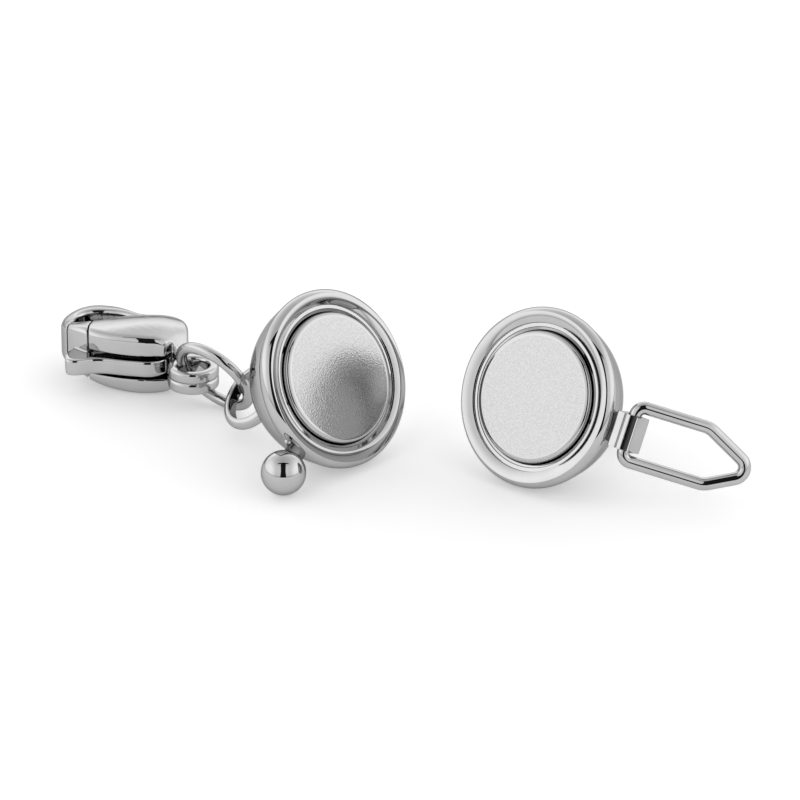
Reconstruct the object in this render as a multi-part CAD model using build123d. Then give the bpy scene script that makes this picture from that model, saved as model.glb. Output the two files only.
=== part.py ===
from build123d import *
import os
from math import cos, radians, sin, sqrt

# Magnetic clasp in millimetres, +Z up, lying on the surface at Z = 0.
# Two ball halves meet on magnets. A wire bail on the right half snaps over the small ball on the left
# half, and a lobster clasp hangs from the left half by a jump ring.

# Ball halves: radii, and heights ahead of the mouth plane
RIM_R = 7.0             # widest radius, at the rim
DOME_R = 6.9            # radius of the dome behind the rim
DOME_CENTRE = 0.3
RIM_BACK = -0.95        # where the dome ends and the rim bead starts
BEAD_STEP_R, BEAD_STEP_Z = 0.06, 0.08
BEAD_MID_Z = -0.3       # widest place of the bead
ARRIS_R, ARRIS_Z = 6.62, 0.32       # front edge of the bead
BEVEL_MID_R, BEVEL_MID_Z = 6.2, 0.27
BEVEL_R, BEVEL_Z = 5.75, 0.12       # inner edge of the front bevel
LEDGE_Z = -0.06         # small step inside the bevel
GAP_R, GAP_DEPTH = 5.45, 1.1        # dark ring round the magnet
POCKET_R, POCKET_DEPTH = 5.2, 3.6   # seat of the magnet, well inside the dome
MAGNET_R = 5.12
MAGNET_FACE = 0.42
MAGNET_EDGE = 0.27      # rounding of the magnet's edge
SEAT_GAP = 0.05

# Soldered back rings: D-shaped strip bent to a circle
RING_IN, RING_OUT = 2.2, 2.88
RING_WIDTH = 1.0
RING_EDGE = 0.25        # straight part of the D beside the bore

# Catch ball on the left half, and its neck
BALL_R = 1.75
BALL_AXIAL, BALL_RADIAL, BALL_ANGLE = -0.779, 9.046, -144.7
NECK_LONG, NECK_SHORT, NECK_TOP = 1.25, 0.62, 0.7
NECK_BITE = 0.4         # how far the neck runs into the ball and into the dome

# Lug on the right half, with the bore that the bail turns in
BORE_R = 0.55
LUG_ANGLE = -3.0        # round the right half's axis
LUG_RADIAL, LUG_AXIAL = 8.22, -1.38
LUG_LENGTH = 2.75
LUG_IN, LUG_OUT, LUG_SIDE = 1.1, 0.93, 0.87     # from the bore: towards the dome, away from it, sideways
LUG_EDGE = 0.3
SEAM, SEAM_DEPTH = 0.26, 0.34       # seam of the folded strip, at its front outer edge
BLOCK_LENGTH, BLOCK_THICK = 2.3, 1.5
BLOCK_BITE = 0.5

# Wire bail: reach from the bore, and side along the bore
WIRE_R = 0.5
BAIL_HALF = 2.15
BAIL_UPPER, BAIL_LOWER = 5.75, 6.6  # where the two long sides start to converge
BAIL_TIP, BAIL_TIP_SIDE = 10.3, -0.2
BAIL_CORNER, BAIL_SHOULDER, BAIL_NOSE = 0.7, 1.6, 0.9
BAIL_SWING = 40.0       # as it lies, from straight out towards the back of the half

# Jump ring
JUMP_R, JUMP_WIRE = 3.2, 0.45
JUMP_CENTRE = (-14.566, -3.708, 3.29)
JUMP_NORMAL = (0.56, 0.682, 0.471)

# Lobster clasp: u runs from the eye to the hook, v towards the lever's side
EYE_AT = (-16.35, -1.31)
LOBSTER_YAW = 144.0     # direction of u
EYE_R, EYE_HOLE, EYE_EDGE = 2.05, 1.25, 0.3
EYE_LOW, EYE_HIGH = 1.4, 3.3
EYE_GROOVE, GROOVE_DEEP = 0.14, 0.16
MID_Z = 2.45
TALL = 7.0              # taller than the lobster, for cutting blocks
BODY_EDGE, OPENING_EDGE, LEVER_EDGE = 0.6, 0.35, 0.25
WIDE = 20.0             # larger than the lobster, for cutting blocks
RIM_EDGE_LENGTH = 20.0  # only the long outline edges are rounded
OPENING_EDGE_LENGTH = 8.0
CHEEK_END, CHEEK_INNER = 2.45, -0.4     # the cheeks end here, beside the eye, outside this v
SLOT_LOW, SLOT_HIGH = 1.4, 3.4
SLOT_EYE_END, SLOT_FLOOR = 2.3, -2.1
PIVOT = (4.0, -0.75)
PIN_R, PIN_SEAT, PIN_HOLE = 0.5, 0.53, 0.55
PIN_LOW, PIN_HIGH, PIN_END_GAP = 0.7, 4.1, 0.05
LEVER_LOW, LEVER_HIGH = 1.65, 3.05
BOSS_R = 1.15
GATE_IN, GATE_OUT = 5.65, 7.5       # the gate lies between these radii from the pivot
PARTING = 0.06          # clearance round the gate

# Plan of the lobster's body, from the eye round the lever's side, the hook and back to the eye
BODY_OUTLINE = (
    (1.5, -0.05), (2.5, 0.5), (3.6, 1.35), (5.8, 2.4), (8.4, 2.85), (10.4, 2.55), (11.9, 1.8), (12.75, 0.6),
    (13.1, -0.8), (12.9, -2.2), (11.9, -3.3), (10.3, -3.85), (8.5, -3.75), (7.0, -3.8), (5.8, -4.15),
    (4.7, -4.25), (3.5, -3.75), (2.7, -2.9), (2.1, -2.1), (1.45, -1.25),
)
# Plan of the hook's opening
HOOK_OPENING = (
    (7.2, -2.6), (7.95, -1.42), (8.56, -0.25), (9.05, 0.44), (9.6, 0.95), (10.24, 1.15), (10.85, 1.0),
    (11.5, 0.4), (11.9, -0.6), (11.6, -1.5), (10.85, -2.15), (9.8, -2.65), (8.5, -2.85),
)
# Heights of the body's top and underside: a row for each u, and a column for each v
GRID_U = (-0.5, 1.2, 2.2, 3.2, 4.5, 6.0, 7.5, 9.0, 10.5, 12.0, 13.6, 15.0)
GRID_V = (-6.0, -4.2, -2.6, -1.0, 0.6, 2.2, 4.0)
TOP_HEIGHTS = (
    (2.9, 2.9, 2.9, 2.9, 2.9, 2.9, 2.9),
    (2.9, 2.9, 3.0, 3.1, 3.3, 3.6, 3.6),
    (3.4, 3.6, 3.8, 4.0, 4.5, 4.7, 4.7),
    (4.1, 4.3, 4.75, 4.95, 4.95, 4.75, 4.6),
    (4.1, 4.5, 5.1, 5.3, 5.2, 4.9, 4.7),
    (3.9, 4.4, 5.0, 5.3, 5.3, 5.0, 4.8),
    (3.7, 4.1, 4.65, 5.05, 5.15, 5.05, 4.9),
    (3.8, 4.1, 4.45, 4.7, 4.95, 5.0, 4.9),
    (3.9, 4.15, 4.35, 4.5, 4.6, 4.7, 4.6),
    (3.95, 4.15, 4.25, 4.3, 4.3, 4.3, 4.2),
    (3.9, 4.05, 4.15, 4.15, 4.15, 4.05, 4.0),
    (3.5, 3.7, 3.9, 4.0, 4.0, 3.9, 3.8),
)
UNDER_HEIGHTS = (
    (1.5, 1.5, 1.5, 1.5, 1.5, 1.5, 1.5),
    (1.4, 1.4, 1.4, 1.3, 1.2, 1.1, 1.1),
    (1.1, 1.0, 0.8, 0.6, 0.35, 0.25, 0.25),
    (0.7, 0.55, 0.3, 0.12, 0.1, 0.15, 0.2),
    (0.5, 0.3, 0.1, 0.02, 0.02, 0.1, 0.15),
    (0.5, 0.3, 0.1, 0.02, 0.05, 0.15, 0.25),
    (0.6, 0.45, 0.25, 0.15, 0.2, 0.33, 0.45),
    (0.8, 0.7, 0.6, 0.5, 0.55, 0.7, 0.85),
    (1.0, 0.95, 0.9, 0.85, 0.9, 1.0, 1.1),
    (1.15, 1.1, 1.1, 1.1, 1.15, 1.2, 1.3),
    (1.3, 1.2, 1.2, 1.2, 1.2, 1.3, 1.4),
    (1.5, 1.4, 1.4, 1.4, 1.4, 1.5, 1.6),
)
# Plan of the lever's arm and its thumb tab
LEVER_PLAN = (
    (2.85, -0.75), (2.75, 0.6), (3.2, 1.35), (4.3, 2.0), (5.5, 2.55), (6.5, 2.95), (7.3, 3.5), (8.0, 4.35),
    (8.75, 4.85), (9.45, 4.6), (9.9, 3.75), (9.9, 2.5), (9.2, 1.0), (8.0, -0.2), (6.4, -1.1), (4.6, -1.5),
    (3.4, -1.3),
)

# Where the halves stand and where their mouths point
LEFT_AT, LEFT_AZIMUTH, LEFT_RISE = (-4.926, -11.501, 6.765), -44.56, 26.84
RIGHT_AT, RIGHT_AZIMUTH, RIGHT_RISE = (10.392, -15.027, 6.775), -128.89, 24.69
# Each back ring: its centre's distance and direction, and the direction of its bore, in the half's own frame
LEFT_RING = (8.966, (-0.1327, 0.0239, -0.9909), (0.6938, -0.7117, -0.1101))
RIGHT_RING = (9.0, (0.0, 0.0, -1.0), (0.948, 0.319, 0.0))


def half_plane(at, azimuth, rise):
    """Plane of a half's mouth: its z is the mouth's direction and its x is level."""
    turn, lift = radians(azimuth), radians(rise)
    direction = Vector(cos(lift) * cos(turn), cos(lift) * sin(turn), sin(lift))
    return Plane(origin=at, x_dir=(-sin(turn), cos(turn), 0), z_dir=direction)


def turned(outline):
    """Solid of revolution about Z of a closed outline in X and Z."""
    return revolve(Plane.XZ * make_face(outline), Axis.Z)


def shell():
    """Half ball with its rim, the dark gap ring and the magnet's pocket."""
    pole = DOME_CENTRE - DOME_R
    dome_edge_r = sqrt(DOME_R**2 - (RIM_BACK - DOME_CENTRE) ** 2)
    dome_mid = (DOME_R * sqrt(0.5), DOME_CENTRE - DOME_R * sqrt(0.5))
    bead = (dome_edge_r + BEAD_STEP_R, RIM_BACK + BEAD_STEP_Z)
    outline = [
        ThreePointArc((0, pole), dome_mid, (dome_edge_r, RIM_BACK)),
        Line((dome_edge_r, RIM_BACK), bead),
        ThreePointArc(bead, (RIM_R, BEAD_MID_Z), (ARRIS_R, ARRIS_Z)),
        ThreePointArc((ARRIS_R, ARRIS_Z), (BEVEL_MID_R, BEVEL_MID_Z), (BEVEL_R, BEVEL_Z)),
        Polyline(
            (BEVEL_R, BEVEL_Z), (BEVEL_R, LEDGE_Z), (GAP_R, LEDGE_Z), (GAP_R, -GAP_DEPTH),
            (POCKET_R, -GAP_DEPTH), (POCKET_R, -POCKET_DEPTH), (0, -POCKET_DEPTH), (0, pole),
        ),
    ]
    return turned(outline)


def magnet():
    """Disc magnet with a rounded front edge, in the half's own frame."""
    edge_start = MAGNET_FACE - MAGNET_EDGE
    lean = MAGNET_EDGE * (1 - sqrt(0.5))    # how far the rounding's middle is inside the corner
    outline = [
        Polyline(
            (0, MAGNET_FACE), (0, SEAT_GAP - POCKET_DEPTH), (MAGNET_R, SEAT_GAP - POCKET_DEPTH),
            (MAGNET_R, edge_start),
        ),
        ThreePointArc(
            (MAGNET_R, edge_start), (MAGNET_R - lean, MAGNET_FACE - lean),
            (MAGNET_R - MAGNET_EDGE, MAGNET_FACE),
        ),
        Line((MAGNET_R - MAGNET_EDGE, MAGNET_FACE), (0, MAGNET_FACE)),
    ]
    return turned(outline)


def back_ring(reach, centre_way, bore_way):
    """Soldered ring behind the dome, in the half's own frame."""
    half = RING_WIDTH / 2
    shoulder = RING_IN + RING_EDGE
    outline = [
        Polyline((shoulder, -half), (RING_IN, -half), (RING_IN, half), (shoulder, half)),
        ThreePointArc((shoulder, half), (RING_OUT, 0), (shoulder, -half)),
    ]
    seat = Plane(origin=Vector(*centre_way) * reach, x_dir=centre_way, z_dir=bore_way)
    return seat * turned(outline)


def catch_ball():
    """Small ball beside the rim, with the soldered neck that carries it."""
    angle = radians(BALL_ANGLE)
    centre = Vector(BALL_RADIAL * cos(angle), BALL_RADIAL * sin(angle), BALL_AXIAL)
    to_dome = Vector(0, 0, DOME_CENTRE) - centre
    inward = to_dome.normalized()
    along = Vector(-sin(angle), cos(angle), 0)
    top = Plane(origin=centre + inward * (BALL_R - NECK_BITE), x_dir=along, z_dir=inward)
    foot = Plane(origin=centre + inward * (to_dome.length - DOME_R + NECK_BITE), x_dir=along, z_dir=inward)
    neck = loft([top * Circle(NECK_TOP), foot * Ellipse(NECK_LONG, NECK_SHORT)])
    return Pos(centre) * Sphere(BALL_R) + neck


def lug_plane():
    """Frame of the lug in the right half: x away from the dome, y to the back, z along the bore."""
    angle = radians(LUG_ANGLE)
    origin = (LUG_RADIAL * cos(angle), LUG_RADIAL * sin(angle), LUG_AXIAL)
    return Plane(origin=origin, x_dir=(cos(angle), sin(angle), 0), z_dir=(-sin(angle), cos(angle), 0))


def lug():
    """Strip folded round the bail's wire, and the solder block that joins it to the dome."""
    strip = Pos((LUG_OUT - LUG_IN) / 2, 0, 0) * Box(LUG_IN + LUG_OUT, 2 * LUG_SIDE, LUG_LENGTH)
    strip = fillet(strip.edges().filter_by(Axis.Z), LUG_EDGE)
    block_from, block_to = DOME_R - BLOCK_BITE - LUG_RADIAL, LUG_EDGE - LUG_IN
    block = Pos((block_from + block_to) / 2, 0, 0) * Box(block_to - block_from, BLOCK_THICK, BLOCK_LENGTH)
    seam = Pos(LUG_OUT, -LUG_SIDE, 0) * Rot(0, 0, 45) * Box(SEAM, 2 * SEAM_DEPTH + LUG_EDGE, LUG_LENGTH)
    return lug_plane() * (strip + block - seam - Cylinder(BORE_R, LUG_LENGTH))


def bail():
    """Wire bail: a base through the lug, two long sides, and two sides that meet in a round nose."""
    corners = [
        (0, -BAIL_HALF), (0, BAIL_HALF), (BAIL_UPPER, BAIL_HALF), (BAIL_TIP, BAIL_TIP_SIDE),
        (BAIL_LOWER, -BAIL_HALF),
    ]
    radii = [BAIL_CORNER, BAIL_CORNER, BAIL_SHOULDER, BAIL_NOSE, BAIL_SHOULDER]
    route = FilletPolyline(*corners, radius=radii, close=True).wire()
    wire = sweep(Plane(origin=route @ 0, z_dir=route % 0) * Circle(WIRE_R), path=route)
    return lug_plane().location * Rot(0, 0, BAIL_SWING) * Plane.XZ.location * wire


def jump_ring():
    """Round wire ring that joins the lobster's eye to the left half's back ring."""
    return Plane(origin=JUMP_CENTRE, z_dir=JUMP_NORMAL) * Torus(JUMP_R, JUMP_WIRE)


def slab(outline, low, high):
    """Straight block over a plan outline, between two heights."""
    return Pos(0, 0, low) * extrude(make_face(outline), high - low, dir=(0, 0, 1))


def height_sheet(heights):
    """Smooth face through a table of heights."""
    rows = [[Vector(u, v, z) for v, z in zip(GRID_V, row)] for u, row in zip(GRID_U, heights)]
    return Face.make_surface_from_array_of_points(rows)


def claw():
    """Whole rounded form of the lobster behind its eye, with the hook's opening, before it is parted."""
    form = slab([Spline(*BODY_OUTLINE), Line(BODY_OUTLINE[-1], BODY_OUTLINE[0])], -1, TALL)
    form -= extrude(height_sheet(TOP_HEIGHTS), TALL, dir=(0, 0, 1))
    form -= extrude(height_sheet(UNDER_HEIGHTS), TALL, dir=(0, 0, -1))
    form = fillet(form.edges().filter_by(lambda edge: edge.length > RIM_EDGE_LENGTH), BODY_EDGE)
    form -= slab(Spline(*HOOK_OPENING, periodic=True), -1, TALL)
    loops = form.edges().filter_by(lambda edge: OPENING_EDGE_LENGTH < edge.length < 2 * OPENING_EDGE_LENGTH)
    return fillet(loops, OPENING_EDGE)


def lobster_eye():
    """Flat eye with rounded edges and a groove between its two layers."""
    height = EYE_HIGH - EYE_LOW
    eye = Cylinder(EYE_R, height) - Cylinder(EYE_HOLE, height)
    eye = fillet(eye.edges().filter_by(GeomType.CIRCLE), EYE_EDGE)
    groove = Cylinder(EYE_R + GROOVE_DEEP, EYE_GROOVE) - Cylinder(EYE_R - GROOVE_DEEP, EYE_GROOVE)
    return Pos(0, 0, (EYE_LOW + EYE_HIGH) / 2) * (eye - groove)


def around_pivot(radius, low, high):
    """Upright cylinder round the lever's pivot."""
    return Pos(PIVOT[0], PIVOT[1], (low + high) / 2) * Cylinder(radius, high - low)


def gate_band(clearance):
    """Curved band round the pivot that holds the gate, outside the hook's opening."""
    band = around_pivot(GATE_OUT + clearance, 0, TALL) - around_pivot(GATE_IN - clearance, 0, TALL)
    corner = Pos(PIVOT[0] + WIDE / 2, PIVOT[1] + WIDE / 2, TALL / 2) * Box(WIDE, WIDE, TALL)
    return band & corner


def cheek_notch():
    """Block beside the eye, where both cheeks end, without the eye itself."""
    side = Pos(CHEEK_END - WIDE / 2, CHEEK_INNER + WIDE / 2, TALL / 2) * Box(WIDE, WIDE, 2 * TALL)
    return side - Pos(0, 0, (EYE_LOW + EYE_HIGH) / 2) * Cylinder(EYE_R, EYE_HIGH - EYE_LOW)


def lobster_body():
    """Claw and eye in one, with the lever's slot, the gate's place and blind seats for the pin."""
    slot = around_pivot(GATE_IN, SLOT_LOW, SLOT_HIGH)
    slot &= Pos(SLOT_EYE_END + WIDE / 2, SLOT_FLOOR + WIDE / 2, MID_Z) * Box(WIDE, WIDE, TALL)
    seats = around_pivot(PIN_SEAT, PIN_LOW - PIN_END_GAP, PIN_HIGH + PIN_END_GAP)
    return claw() + lobster_eye() - cheek_notch() - slot - gate_band(PARTING) - seats


def lobster_lever():
    """Sprung lever: boss on the pin, arm in the slot, gate that closes the hook, and thumb tab."""
    arm = slab(Spline(*LEVER_PLAN, periodic=True), LEVER_LOW, LEVER_HIGH)
    arm = fillet(arm.edges().filter_by(lambda edge: edge.length > RIM_EDGE_LENGTH), LEVER_EDGE)
    arm &= around_pivot(GATE_OUT, 0, TALL)
    gate = gate_band(0) & claw()
    boss = around_pivot(BOSS_R, LEVER_LOW, LEVER_HIGH)
    return boss + arm + gate - around_pivot(PIN_HOLE, 0, TALL)


def lobster_pin():
    """Plain pin through the lever, seated blind in both cheeks."""
    return around_pivot(PIN_R, PIN_LOW, PIN_HIGH)


def place_parts():
    """All sub-parts where they lie, before the common shift to the origin."""
    left = half_plane(LEFT_AT, LEFT_AZIMUTH, LEFT_RISE)
    right = half_plane(RIGHT_AT, RIGHT_AZIMUTH, RIGHT_RISE)
    lobster = Pos(EYE_AT[0], EYE_AT[1], 0) * Rot(0, 0, LOBSTER_YAW)
    return {
        "left_cup": left * (shell() + back_ring(*LEFT_RING) + catch_ball()),
        "left_magnet": left * magnet(),
        "jump_ring": jump_ring(),
        "lobster_body": lobster * lobster_body(),
        "lobster_lever": lobster * lobster_lever(),
        "lobster_rivet": lobster * lobster_pin(),
        "right_cup": right * (shell() + back_ring(*RIGHT_RING) + lug()),
        "right_magnet": right * magnet(),
        "safety_bail": right * bail(),
    }


def main():
    os.makedirs("parts", exist_ok=True)
    placed = place_parts()
    box = Compound(children=[part.solid() for part in placed.values()]).bounding_box()
    shift = Pos(-box.center().X, -box.center().Y, -box.min.Z)
    for name, part in placed.items():
        moved = shift * part
        moved.label = name
        export_step(moved, f"parts/{name}.step")
    print("shift to the origin", shift.position)
    print("overall size", box.size)


main()
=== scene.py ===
# %% [markdown]
# # A magnetic ball clasp in polished steel
#
# The clasp lies open on a white table. Two domed halves show their magnet faces. The right half carries a
# wire bail, which snaps over the small ball on the left half when the clasp is shut, and a lobster clasp
# hangs from the left half by a jump ring.
#
# Polished steel has almost no look of its own: it shows the room. So this lesson spends its effort on two
# things, which are smooth surfaces with crisp narrow edges, and a studio worth reflecting.

# %% The frame
from math import asin, atan2, cos, degrees, pi, radians, sin, sqrt, tan

import bmesh
import bpy
from mathutils import Matrix, Vector


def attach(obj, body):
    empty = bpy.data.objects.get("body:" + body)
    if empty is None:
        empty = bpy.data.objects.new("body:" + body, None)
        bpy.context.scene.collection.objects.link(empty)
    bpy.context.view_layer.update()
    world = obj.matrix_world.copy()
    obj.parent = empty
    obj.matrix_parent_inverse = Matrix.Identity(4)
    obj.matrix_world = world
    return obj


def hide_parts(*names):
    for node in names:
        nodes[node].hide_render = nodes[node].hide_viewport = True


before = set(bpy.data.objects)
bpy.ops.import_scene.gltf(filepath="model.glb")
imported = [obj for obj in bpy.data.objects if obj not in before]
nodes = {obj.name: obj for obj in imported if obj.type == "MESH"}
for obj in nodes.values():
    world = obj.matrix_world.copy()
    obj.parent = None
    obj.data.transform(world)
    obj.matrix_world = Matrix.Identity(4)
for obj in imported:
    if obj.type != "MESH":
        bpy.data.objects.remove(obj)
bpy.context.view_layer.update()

# %% [markdown]
# The pieces are measured in millimetres, and each is modelled in a handy frame of its own: a half ball, for
# example, stands mouth up round the Z axis. A seat is the matrix that lays such a frame where the real piece
# lies. Only the last step, which turns a bmesh into an object, goes to metres.

# %% Seats
MM = 0.001
TABLE_SHIFT = Vector((0.183296, 6.22978, 0.000886))


def seat(origin, x_way, z_way):
    """Matrix of a piece's own frame: z along z_way, and x as near to x_way as a right angle allows."""
    z = Vector(z_way).normalized()
    y = z.cross(Vector(x_way)).normalized()
    turned = Matrix((y.cross(z), y, z)).transposed().to_4x4()
    return Matrix.Translation(Vector(origin)) @ turned


def half_seat(origin, azimuth, rise):
    """Seat of a half ball whose mouth points along an azimuth and a rise in degrees."""
    turn, lift = radians(azimuth), radians(rise)
    mouth = (cos(lift) * cos(turn), cos(lift) * sin(turn), sin(lift))
    return seat(Vector(origin) + TABLE_SHIFT, (-sin(turn), cos(turn), 0), mouth)


LEFT = half_seat((-4.926, -11.501, 6.765), -44.56, 26.84)
RIGHT = half_seat((10.392, -15.027, 6.775), -128.89, 24.69)
print("the left mouth looks along", [round(v, 2) for v in LEFT.col[2][:3]])
print("the right mouth looks along", [round(v, 2) for v in RIGHT.col[2][:3]])

# %% [markdown]
# Most of these pieces are turned on a lathe, so a profile that is spun round an axis makes them, just as it
# does in the workshop. A profile is a list of (radius, height) points. Arcs are stepped finely, and a corner
# gets a tiny rounding, because a real polished corner is never sharp and its thin highlight is what the eye
# reads as metal.

# %% Profiles
def arc(start, middle, end, steps):
    """Points on the circle through three points, without the first one."""
    (ax, ay), (bx, by), (cx, cy) = start, middle, end
    d = 2 * (ax * (by - cy) + bx * (cy - ay) + cx * (ay - by))
    ux = ((ax**2 + ay**2) * (by - cy) + (bx**2 + by**2) * (cy - ay) + (cx**2 + cy**2) * (ay - by)) / d
    uy = ((ax**2 + ay**2) * (cx - bx) + (bx**2 + by**2) * (ax - cx) + (cx**2 + cy**2) * (bx - ax)) / d
    first, last = atan2(ay - uy, ax - ux), atan2(cy - uy, cx - ux)
    way = 1 if (bx - ax) * (cy - ay) - (by - ay) * (cx - ax) > 0 else -1
    sweep = (last - first) * way % (2 * pi) * way
    radius = sqrt((ax - ux) ** 2 + (ay - uy) ** 2)
    angles = [first + sweep * (i + 1) / steps for i in range(steps)]
    return [(ux + radius * cos(a), uy + radius * sin(a)) for a in angles]


def eased(points, radius, closed=False):
    """The same outline with its sharp corners rounded: radius is one number, or one for each corner."""
    out = []
    count = len(points)
    radii = radius if isinstance(radius, tuple) else (radius,) * count
    for i, here in enumerate(points):
        if not closed and i in (0, count - 1):
            out.append(here)
            continue
        p, a, b = Vector(here), Vector(points[i - 1]), Vector(points[(i + 1) % count])
        to_a, to_b = a - p, b - p
        reach = min(to_a.length, to_b.length)
        turn = pi - to_a.angle(to_b)
        if turn < radians(12):
            out.append(here)
            continue
        back = min(radii[i] * tan(turn / 2), 0.4 * reach)
        to_a.normalize()
        to_b.normalize()
        start, end = p + to_a * back, p + to_b * back
        middle = (start + end) / 4 + p / 2
        out.append(tuple(p + to_a * min(1.6 * back, 0.45 * reach)))
        out.append(tuple(start))
        out += arc(tuple(start), tuple(middle), tuple(end), 4)
        out.append(tuple(p + to_b * min(1.6 * back, 0.45 * reach)))
    return out


quarter = arc((1, 0), (sqrt(0.5), sqrt(0.5)), (0, 1), 4)
print("a quarter circle in four steps:", [(round(across, 2), round(up, 2)) for across, up in quarter])

# %% Spinning and finishing
def spun(outline, steps, closed=False):
    """Bmesh of an outline of (radius, height) points spun round Z."""
    bm = bmesh.new()
    verts = [bm.verts.new((radius, 0, height)) for radius, height in outline]
    pairs = list(zip(verts, verts[1:])) + ([(verts[-1], verts[0])] if closed else [])
    edges = [bm.edges.new(pair) for pair in pairs]
    bmesh.ops.spin(
        bm, geom=verts + edges, cent=(0, 0, 0), axis=(0, 0, 1), angle=2 * pi, steps=steps, use_merge=True
    )
    return settled(bm)


def settled(bm):
    """The same bmesh with its seams closed and its faces pointing outwards."""
    bmesh.ops.remove_doubles(bm, verts=bm.verts, dist=1e-5)
    bmesh.ops.recalc_face_normals(bm, faces=bm.faces)
    return bm


def gathered(parts):
    """One bmesh of several (bmesh, matrix) parts, which are used up."""
    whole = bmesh.new()
    for bm, matrix in parts:
        mesh = bpy.data.meshes.new("part")
        bmesh.ops.transform(bm, matrix=matrix, verts=bm.verts)
        bm.to_mesh(mesh)
        bm.free()
        whole.from_mesh(mesh)
        bpy.data.meshes.remove(mesh)
    return whole


def finished(name, bm, where, materials, body, node):
    """Object in metres from a bmesh in millimetres, riding on its body in place of a CAD node."""
    bmesh.ops.transform(bm, matrix=Matrix.Scale(MM, 4) @ where, verts=bm.verts)
    mesh = bpy.data.meshes.new(name)
    bm.to_mesh(mesh)
    bm.free()
    mesh.shade_smooth()
    mesh.set_sharp_from_angle(angle=radians(35))
    for material in materials:
        mesh.materials.append(material)
    piece = bpy.data.objects.new(name, mesh)
    bpy.context.scene.collection.objects.link(piece)
    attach(piece, body)
    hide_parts(node)
    print(name, "has", len(mesh.polygons), "faces")
    return piece


# %% [markdown]
# Materials are written as node trees. The maths in them reads better as Python, so a small class wraps a
# socket and turns `a * b + 1` into Math nodes, and one method makes any other node.

# %% A small language for shaders
class Value:
    """A socket in a node tree that can be used in sums."""

    def __init__(self, tree, socket):
        self.tree, self.socket = tree, socket

    def math(self, operation, other, swap=False):
        node = self.tree.nodes.new("ShaderNodeMath")
        node.operation = operation
        for i, term in enumerate((other, self) if swap else (self, other)):
            if isinstance(term, Value):
                self.tree.links.new(term.socket, node.inputs[i])
            else:
                node.inputs[i].default_value = term
        return Value(self.tree, node.outputs[0])

    def __add__(self, other): return self.math("ADD", other)
    def __radd__(self, other): return self.math("ADD", other)
    def __sub__(self, other): return self.math("SUBTRACT", other)
    def __rsub__(self, other): return self.math("SUBTRACT", other, swap=True)
    def __mul__(self, other): return self.math("MULTIPLY", other)
    def __rmul__(self, other): return self.math("MULTIPLY", other)
    def __truediv__(self, other): return self.math("DIVIDE", other)
    def __pow__(self, other): return self.math("POWER", other)


class Finish:
    """A material or world and its nodes."""

    def __init__(self, owner):
        self.owner = owner
        owner.use_nodes = True
        self.tree = owner.node_tree
        self.tree.nodes.clear()

    def node(self, kind, settings=None, out=0, **sockets):
        """Any node: its settings first, then its sockets by name. Returns one of its outputs as a Value."""
        node = self.tree.nodes.new("ShaderNode" + kind)
        for key, setting in (settings or {}).items():
            if key == "stops":
                ramp = node.color_ramp
                while len(ramp.elements) < len(setting):
                    ramp.elements.new(0.5)
                for element, (place, level) in zip(ramp.elements, setting):
                    element.position = place
                    element.color = (level, level, level, 1)
            else:
                setattr(node, key, setting)
        for name, value in sockets.items():
            socket = node.inputs[name.replace("_", " ")]
            if isinstance(value, Value):
                self.tree.links.new(value.socket, socket)
            else:
                socket.default_value = value
        return Value(self.tree, node.outputs[out]) if node.outputs else None


# %% [markdown]
# Polished stainless steel reflects a bit more than half of the light, evenly over the colours, with a slight
# warmth that the eye doesn't name. A buffing wheel leaves a soft waviness and hairlines that only show in the
# highlights. Both come from noise in object space, at the sizes that they have on a 14 mm ball: patches of a
# couple of millimetres in the roughness, and hairlines a few hundredths of a millimetre wide in the bump. The
# tint at grazing angles is held down, which draws the thin dark outline that the photograph has.

# %% Polished steel
def polished_steel(name, level, gloss):
    """Bright buffed steel: level is its reflectance and gloss its lowest roughness."""
    material = bpy.data.materials.new(name)
    steel = Finish(material)
    place = steel.node("TexCoord", out=3)
    patches = steel.node("TexNoise", {}, Vector=place, Scale=420.0, Detail=3.0, Roughness=0.55)
    brushed = steel.node("Mapping", {}, Vector=place, Rotation=(0.5, 0.3, 0.8), Scale=(1.0, 9.0, 1.0))
    hairs = steel.node("TexNoise", {}, Vector=brushed, Scale=3800.0, Detail=2.0, Roughness=0.6)
    tone = steel.node(
        "ValToRGB", {"stops": [(0.3, level * 0.95), (0.7, level * 1.04)]}, Fac=patches
    )
    roughness = gloss + 0.02 * patches + 0.012 * hairs
    scratch = steel.node("Bump", {}, Strength=0.05, Distance=0.000004, Height=hairs)
    shader = steel.node(
        "BsdfPrincipled", {}, Base_Color=tone, Metallic=1.0, Roughness=roughness, Normal=scratch,
        Specular_Tint=(0.5, 0.5, 0.5, 1),
    )
    steel.node("OutputMaterial", {}, Surface=shader)
    return material


BRIGHT = polished_steel("polished_steel", 0.48, 0.02)
# Near-black steel: painted shade in the gap beside the magnet and in the lug's seam slot.
PAINTED_SHADE_STEEL = polished_steel("painted_shade_gaps", 0.05, 0.4)
# Dull solder, darkened further as painted shade where the neck and the solder block sit in shade.
SOLDER_AND_SHADE = polished_steel("dull_solder_and_shade", 0.17, 0.22)
CUP_MATERIALS = (BRIGHT, PAINTED_SHADE_STEEL, SOLDER_AND_SHADE)
DARK, DULL_AND_SHADED = 1, 2       # places of the last two in that list
print(BRIGHT.name, "has", len(BRIGHT.node_tree.nodes), "nodes")
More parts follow.
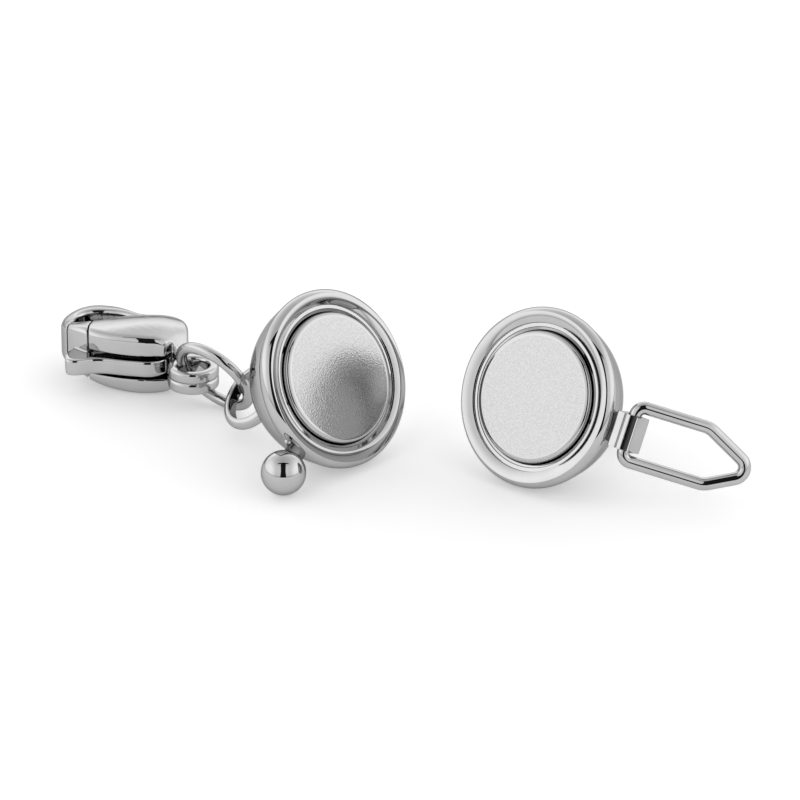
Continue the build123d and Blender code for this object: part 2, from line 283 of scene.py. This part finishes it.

# %% [markdown]
# A half ball carries three of these: the bright outside, near-black steel down in the gaps as painted shade,
# and dull solder that is darkened further as painted shade. Faces choose between them by their place in the
# list.
#
# The magnets' faces are tumbled rather than buffed. Seen close, they are covered in soft pebbles about a
# tenth of a millimetre across, which break every reflection into a pearly grain. Their rounded edge is
# bright.

# %% Pebbled magnet face
def pebbled_steel(name):
    """Satin steel with a fine pebbled relief."""
    material = bpy.data.materials.new(name)
    satin = Finish(material)
    place = satin.node("TexCoord", out=3)
    pebbles = satin.node("TexNoise", {}, Vector=place, Scale=8500.0, Detail=1.0, Roughness=0.4)
    drift = satin.node("TexNoise", {}, Vector=place, Scale=500.0, Detail=2.0, Roughness=0.5)
    tone = satin.node("ValToRGB", {"stops": [(0.35, 0.41), (0.65, 0.48)]}, Fac=pebbles)
    relief = satin.node("Bump", {}, Strength=1.0, Distance=0.000007, Height=pebbles)
    shader = satin.node(
        "BsdfPrincipled", {}, Base_Color=tone, Metallic=1.0, Roughness=0.13 + 0.05 * drift, Normal=relief
    )
    satin.node("OutputMaterial", {}, Surface=shader)
    return material


SATIN = pebbled_steel("satin_face")
MAGNET_MATERIALS = (SATIN, BRIGHT)
EDGE = 1                # place of the bright edge in that list
print(SATIN.name, "has", len(SATIN.node_tree.nodes), "nodes")

# %% [markdown]
# A half ball is one turned shell. Its profile starts at the back of the dome, climbs to a bead at the rim,
# drops inwards over the front bevel and three small steps, and goes down the dark gap beside the magnet. The
# gap's faces are painted near black, as painted shade.

# %% Turned shells
DOME_R, DOME_CENTRE, RIM_BACK = 6.9, 0.3, -0.95
ARRIS, BEVEL_MIDDLE, BEVEL_END = (6.62, 0.32), (6.2, 0.27), (5.75, 0.12)
LEDGE_Z, GAP_R, GAP_Z, POCKET_R, POCKET_Z = -0.06, 5.45, -1.1, 5.2, -3.6
LIP_R, LIP_Z = 5.22, -0.12


def shell():
    """Turned half ball, mouth up round Z."""
    pole = (0, DOME_CENTRE - DOME_R)
    dome_end = (sqrt(DOME_R**2 - (RIM_BACK - DOME_CENTRE) ** 2), RIM_BACK)
    bead = (dome_end[0] + 0.06, RIM_BACK + 0.08)
    middle = (DOME_R * sqrt(0.5), DOME_CENTRE - DOME_R * sqrt(0.5))
    outline = [pole] + arc(pole, middle, dome_end, 60) + [bead]
    outline += arc(bead, (7.0, -0.3), ARRIS, 18) + arc(ARRIS, BEVEL_MIDDLE, BEVEL_END, 8)
    outline += [
        (BEVEL_END[0], LEDGE_Z), (GAP_R, LEDGE_Z), (GAP_R - 0.03, LIP_Z), (LIP_R, LIP_Z - 0.04),
        (LIP_R, GAP_Z), (POCKET_R, GAP_Z), (POCKET_R, POCKET_Z), (0, POCKET_Z),
    ]
    bm = spun(eased(outline, 0.03), 224)
    # Faces down in the gap beside the magnet get the near-black steel: painted shade.
    for face in bm.faces:
        middle = face.calc_center_median()
        if POCKET_Z - 0.1 < middle.z < LIP_Z - 0.07 and middle.xy.length < LIP_R + 0.01:
            face.material_index = DARK
    return bm


def magnet():
    """Disc magnet with a rounded front edge, standing in the pocket."""
    face, drop, edge, radius = 0.42, 0.27, 0.42, 5.12
    outline = [(0, POCKET_Z + 0.05), (radius, POCKET_Z + 0.05), (radius, face - drop - 0.05)]
    for i in range(13):
        turn = radians(7.5 * i)
        outline.append((radius - edge + edge * cos(turn), face - drop + drop * sin(turn)))
    outline += [(radius - edge - 0.05, face), (0.8 * radius, face), (0.4 * radius, face), (0, face)]
    bm = spun(outline, 160)
    for patch in bm.faces:
        middle = patch.calc_center_median()
        if middle.xy.length > radius - edge or middle.z < face - edge:
            patch.material_index = EDGE
    return bm


# %% [markdown]
# Behind each half stands a ring, bent from D-shaped strip with its flat side inwards, and soldered to the
# dome. A ring is a lathe shape too, with its profile well away from the axis.

# %% Back rings
def back_ring():
    """Ring of D-shaped strip round Z."""
    inside, shoulder, outside, half = 2.2, 2.45, 2.88, 0.5
    flat_side = eased([(shoulder, -half), (inside, -half), (inside, half), (shoulder, half)], 0.09)
    return spun(flat_side + arc((shoulder, half), (outside, 0), (shoulder, -half), 16)[:-1], 128, closed=True)


def ring_seat(reach, centre_way, bore_way):
    """Seat of a back ring in a half's own frame."""
    return seat(Vector(centre_way) * reach, centre_way, bore_way)


LEFT_RING = ring_seat(8.966, (-0.1327, 0.0239, -0.9909), (0.6938, -0.7117, -0.1101))
RIGHT_RING = ring_seat(9.0, (0, 0, -1), (0.948, 0.319, 0))

# %% [markdown]
# The catch ball sits on a short flared neck of solder. The neck is spun as a waisted post and then squeezed
# flat, because the solder has run out along the rim, where it ends in a small bead.

# %% Catch ball and neck
BALL_R = 1.75
BALL_ANGLE = radians(-144.7)
BALL_AT = Vector((9.046 * cos(BALL_ANGLE), 9.046 * sin(BALL_ANGLE), -0.779))


def catch_ball():
    """Ball and neck, in the left half's own frame."""
    ball = bmesh.new()
    bmesh.ops.create_icosphere(ball, subdivisions=6, radius=BALL_R, matrix=Matrix.Translation(BALL_AT))
    to_dome = Vector((0, 0, DOME_CENTRE)) - BALL_AT
    span = to_dome.length - DOME_R
    foot, waist, top = (1.1, span + 0.3), (0.85, span - 0.15), (0.95, BALL_R - 0.35)
    outline = [(0, BALL_R - 0.6), (0.9, BALL_R - 0.6), top] + arc(top, waist, foot, 10) + [(0, foot[1])]
    neck = spun(outline, 48)
    # The neck gets the dull solder, darkened further as painted shade.
    for face in neck.faces:
        face.material_index = DULL_AND_SHADED
    bmesh.ops.scale(neck, vec=(1.0, 0.6, 1.0), verts=neck.verts)
    along = Vector((-sin(BALL_ANGLE), cos(BALL_ANGLE), 0))
    bead = bmesh.new()
    bead_at = BALL_AT + to_dome.normalized() * span - along
    bmesh.ops.create_icosphere(bead, subdivisions=4, radius=0.3, matrix=Matrix.Translation(bead_at))
    return [(ball, Matrix()), (bead, Matrix()), (neck, seat(BALL_AT, along, to_dome))]


finished(
    "left_half", gathered([(shell(), Matrix()), (back_ring(), LEFT_RING)] + catch_ball()), LEFT,
    CUP_MATERIALS, "clasp", "left_cup",
)
finished("left_magnet_disc", magnet(), LEFT, MAGNET_MATERIALS, "clasp", "left_magnet")
finished("right_magnet_disc", magnet(), RIGHT, MAGNET_MATERIALS, "clasp", "right_magnet")

# %% [markdown]
# The lug on the right half is a strip folded round the bail's wire, with its open seam at the front. Its
# end view is a rounded rectangle with a thin groove, a seam slot and a round bore. Filling between those two
# loops gives that end view, and one extrusion along the bore gives the lug.

# %% Lug and solder block
LUG_ANGLE = radians(-3.0)
LUG_WAY = (cos(LUG_ANGLE), sin(LUG_ANGLE), 0)
LUG = seat((8.22 * LUG_WAY[0], 8.22 * LUG_WAY[1], -1.38), LUG_WAY, (-LUG_WAY[1], LUG_WAY[0], 0))
BORE_R, LUG_LENGTH = 0.55, 2.75


def lug():
    """Folded strip with its bore along Z, and the solder block towards the dome."""
    inner, outer, side = -1.1, 0.93, 0.87
    seam_from, seam_to, floor = 0.16, 0.74, -0.6
    outline = [
        (outer, side), (inner, side), (inner, -side), (-0.38, -side), (-0.3, 0.12 - side), (-0.22, -side),
        (seam_from, -side), (seam_from, floor), (seam_to, floor), (seam_to, -side), (outer, -side),
    ]
    strip = bmesh.new()
    bends = (0.3, 0.3, 0.15, 0.1, 0.03, 0.1, 0.08, 0.03, 0.03, 0.08, 0.12)
    rounded = [strip.verts.new((x, y, -LUG_LENGTH / 2)) for x, y in eased(outline, bends, closed=True)]
    loop = [strip.edges.new(pair) for pair in zip(rounded, rounded[1:] + rounded[:1])]
    bore = bmesh.ops.create_circle(
        strip, radius=BORE_R, segments=48, matrix=Matrix.Translation((0, 0, -LUG_LENGTH / 2))
    )["verts"]
    bore_edges = list({edge for vert in bore for edge in vert.link_edges})
    filled = bmesh.ops.triangle_fill(strip, use_beauty=True, edges=loop + bore_edges)["geom"]
    end = [item for item in filled if isinstance(item, bmesh.types.BMFace)]
    raised = bmesh.ops.extrude_face_region(strip, geom=end, use_keep_orig=True)["geom"]
    moved = [item for item in raised if isinstance(item, bmesh.types.BMVert)]
    bmesh.ops.translate(strip, vec=(0, 0, LUG_LENGTH), verts=moved)
    # The seam slot's faces get the near-black steel: painted shade in the slot.
    for face in strip.faces:
        middle = face.calc_center_median()
        if seam_from - 0.02 < middle.x < seam_to + 0.02 and -0.8 < middle.y < -0.57 and abs(middle.z) < 1:
            face.material_index = DARK
    block = bmesh.new()
    bmesh.ops.create_cube(block, size=1.0)
    bmesh.ops.scale(block, vec=(1.05, 1.5, 2.3), verts=block.verts)
    bmesh.ops.translate(block, vec=(-1.32, 0, 0), verts=block.verts)
    bmesh.ops.bevel(
        block, geom=block.edges, offset=0.22, segments=4, profile=0.5, affect="EDGES", material=-1
    )
    # The block gets the dull solder, darkened further as painted shade between the dome and the lug.
    for face in block.faces:
        face.material_index = DULL_AND_SHADED
    return [(settled(strip), LUG), (block, LUG)]


finished(
    "right_half", gathered([(shell(), Matrix()), (back_ring(), RIGHT_RING)] + lug()), RIGHT,
    CUP_MATERIALS, "clasp", "right_cup",
)

# %% [markdown]
# The bail is one millimetre wire bent over five corners. A ring of vertices is the wire's cut end. It is
# extruded along each straight run and spun round each bend, and it meets itself at the start.

# %% Bent wire
def wire_loop(corners, bends, radius, around=28, bend_steps=14):
    """Closed loop of round wire in the XY plane, bent with the given radii at its corners."""
    points = [Vector((x, y, 0)) for x, y in corners]
    count = len(points)
    stations = []
    for i, corner in enumerate(points):
        into = (corner - points[i - 1]).normalized()
        away = (points[(i + 1) % count] - corner).normalized()
        turn = into.angle(away) * (1 if into.cross(away).z > 0 else -1)
        back = bends[i] * tan(abs(turn) / 2)
        side = Vector((-into.y, into.x, 0)) * (bends[i] if turn > 0 else -bends[i])
        stations.append((corner - into * back, corner + away * back, corner - into * back + side, turn, away))
    bm = bmesh.new()
    here, way = stations[-1][1], stations[-1][4]
    cut = seat(here, (0, 0, 1), way)
    circle = bmesh.ops.create_circle(bm, radius=radius, segments=around, matrix=cut)["verts"]
    ring = list({edge for vert in circle for edge in vert.link_edges})
    for start, end, centre, turn, away in stations:
        moved = bmesh.ops.extrude_edge_only(bm, edges=ring)["geom"]
        verts = [item for item in moved if isinstance(item, bmesh.types.BMVert)]
        bmesh.ops.translate(bm, vec=start - here, verts=verts)
        ring = [item for item in moved if isinstance(item, bmesh.types.BMEdge)]
        verts = list({vert for edge in ring for vert in edge.verts})
        bent = bmesh.ops.spin(
            bm, geom=verts + ring, cent=centre, axis=(0, 0, 1), angle=turn, steps=bend_steps
        )["geom_last"]
        ring = [item for item in bent if isinstance(item, bmesh.types.BMEdge)]
        here = end
    return settled(bm)


BAIL_CORNERS = [(0, -2.15), (0, 2.15), (5.75, 2.15), (10.3, -0.2), (6.6, -2.15)]
BAIL_BENDS = [0.7, 0.7, 1.6, 0.9, 1.6]
WIRE_R = 0.5
BAIL = RIGHT @ LUG @ Matrix.Rotation(radians(40), 4, "Z") @ Matrix.Rotation(radians(90), 4, "X")
finished(
    "wire_bail", wire_loop(BAIL_CORNERS, BAIL_BENDS, WIRE_R), BAIL, (BRIGHT,), "bail", "safety_bail",
)

# %% Jump ring
JUMP = seat(Vector((-14.566, -3.708, 3.29)) + TABLE_SHIFT, (1, 0, 0), (0.56, 0.682, 0.471))
JUMP_R, JUMP_WIRE, AROUND = 3.2, 0.45, 32
turns = [2 * pi * i / AROUND for i in range(AROUND)]
circle = [(JUMP_R + JUMP_WIRE * cos(turn), JUMP_WIRE * sin(turn)) for turn in turns]
finished(
    "jump_ring_wire", spun(circle, 160, closed=True), JUMP, (BRIGHT,), "clasp", "jump_ring"
)

# %% [markdown]
# The lobster clasp is cast and then tumbled with pebbles until every edge is soft. Its CAD solid has the
# right shape with harder edges, so the piece here is a copy of it, rebuilt on an even grid of small squares
# and smoothed, which does to the mesh what tumbling does to the casting.

# %% Tumbled castings
def tumbled(node, grain, passes):
    """Even, softened copy of a CAD node in millimetres: grain is the size of a square."""
    rough = bmesh.new()
    rough.from_mesh(nodes[node].data)
    bmesh.ops.scale(rough, vec=(1 / MM,) * 3, verts=rough.verts)
    bmesh.ops.remove_doubles(rough, verts=rough.verts, dist=1e-4)
    mesh = bpy.data.meshes.new("casting")
    rough.to_mesh(mesh)
    rough.free()
    casting = bpy.data.objects.new("casting", mesh)
    bpy.context.scene.collection.objects.link(casting)
    grid = casting.modifiers.new("grid", "REMESH")
    grid.mode = "VOXEL"
    grid.voxel_size = grain
    even = bpy.data.meshes.new_from_object(casting.evaluated_get(bpy.context.evaluated_depsgraph_get()))
    soft = bmesh.new()
    soft.from_mesh(even)
    for _ in range(passes):
        bmesh.ops.smooth_vert(
            soft, verts=soft.verts, factor=0.5, use_axis_x=True, use_axis_y=True, use_axis_z=True
        )
    bpy.data.objects.remove(casting)
    bpy.data.meshes.remove(mesh)
    bpy.data.meshes.remove(even)
    return soft


finished(
    "lobster_casting", tumbled("lobster_body", 0.062, 10), Matrix(), (BRIGHT,), "clasp", "lobster_body",
)
finished(
    "lobster_trigger", tumbled("lobster_lever", 0.06, 9), Matrix(), (BRIGHT,), "lever", "lobster_lever",
)
nodes["lobster_rivet"].data.materials.clear()
nodes["lobster_rivet"].data.materials.append(BRIGHT)

# %% [markdown]
# The table is a wide white sheet that also glows a little, because the photograph's is burnt out to white. It
# isn't part of the clasp.

# %% Table
table_bm = bmesh.new()
bmesh.ops.create_circle(table_bm, cap_ends=True, radius=0.6, segments=96)
table_mesh = bpy.data.meshes.new("table")
table_bm.to_mesh(table_mesh)
table_bm.free()
table_material = bpy.data.materials.new("white_table")
paper = Finish(table_material)
shader = paper.node(
    "BsdfPrincipled", {}, Base_Color=(0.76, 0.76, 0.76, 1), Roughness=0.9, Emission_Color=(1, 1, 1, 1),
    Emission_Strength=0.3,
)
paper.node("OutputMaterial", {}, Surface=shader)
table_mesh.materials.append(table_material)
table = bpy.data.objects.new("table", table_mesh)
bpy.context.scene.collection.objects.link(table)

# %% [markdown]
# The room is a white tent, and the little ball in the photograph is a map of it. Straight behind the camera
# stands a tall black card, a bit wider at its foot, with a short bar across its top. It gives the ball its
# black block and every round wire its dark line. The side walls are bright, and so is a window low behind the
# clasp, which the upward faces show. The roof is dimmer. The world shader works on directions, and Generated
# in a world is the direction of the ray, so x, y and z are all that it needs.

# %% Tent
CARD_FOOT, CARD_TOP = 0.26, 0.2     # half widths of the card, as x of the direction
CARD_LOW, CARD_HIGH = 0.005, 0.955  # where the card starts and ends, as z of the direction
BAR_FRONT, BAR_BACK, BAR_HALF = 0.34, 0.22, 0.42    # leans of the bar's two sides, and its half width
FLANK_GAIN, WINDOW_GAIN = 0.55, 0.65
world = bpy.data.worlds.new("tent")
bpy.context.scene.world = world
tent = Finish(world)
compass = tent.tree.nodes.new("ShaderNodeSeparateXYZ")
tent.tree.links.new(tent.node("TexCoord", out=0).socket, compass.inputs[0])
x, y, z = (Value(tent.tree, out) for out in compass.outputs)


def step(value, low, high, at_low=0.0, at_high=1.0, kind="SMOOTHSTEP"):
    """Smooth change from at_low to at_high while value goes from low to high."""
    return tent.node(
        "MapRange", {"interpolation_type": kind}, Value=value, From_Min=low, From_Max=high, To_Min=at_low,
        To_Max=at_high,
    )


climb = tent.node(
    "ValToRGB",
    {"stops": [(0.0, 0.5), (0.035, 0.6), (0.12, 1.0), (0.45, 1.12), (0.75, 1.08), (0.9, 0.85), (1.0, 0.7)]},
    Fac=z,
)
aside = x.math("ABSOLUTE", 0)
flank = step(aside, 0.55, 0.95)
half_card = step(z, 0.0, 0.5, CARD_FOOT, CARD_TOP, kind="LINEAR")
edge = step(aside - half_card, -0.012, 0.03)
front = y.math("LESS_THAN", 0.02)
upright = z.math("GREATER_THAN", CARD_LOW) * z.math("LESS_THAN", CARD_HIGH)
lean = (0 - y) / z
across = lean.math("GREATER_THAN", BAR_BACK) * lean.math("LESS_THAN", BAR_FRONT)
bar = across * aside.math("LESS_THAN", BAR_HALF) * z.math("GREATER_THAN", 0.5)
card = ((1 - edge) * front * upright).math("MAXIMUM", bar)
window = step(y, 0.5, 0.88) * step(z, 0.5, 0.78, 1.0, 0.0) * step(z, 0.05, 0.3)
glow = 1 + FLANK_GAIN * flank + WINDOW_GAIN * window
light = tent.node("Background", {}, Color=climb, Strength=glow * (1 - 0.985 * card))
tent.node("OutputWorld", {}, Surface=light)
print("the card is", round(2 * degrees(asin(CARD_FOOT))), "degrees wide at its foot")

# %% Camera
TARGET = Vector((0, -11, 4.65)) + TABLE_SHIFT
ELEVATION, DISTANCE = radians(25), 450
camera = bpy.data.cameras.new("camera")
camera.sensor_width = 36
camera.lens = 5814 * 36 / 800
camera.clip_start, camera.clip_end = 0.01, 10
tripod = bpy.data.objects.new("camera", camera)
tripod.rotation_mode = "QUATERNION"
ahead = Vector((0, cos(ELEVATION), -sin(ELEVATION)))
tripod.location = (TARGET - ahead * DISTANCE) * MM
tripod.rotation_quaternion = ahead.to_track_quat("-Z", "Y")
bpy.context.scene.collection.objects.link(tripod)
bpy.context.scene.camera = tripod
bpy.context.scene.view_settings.view_transform = "Standard"
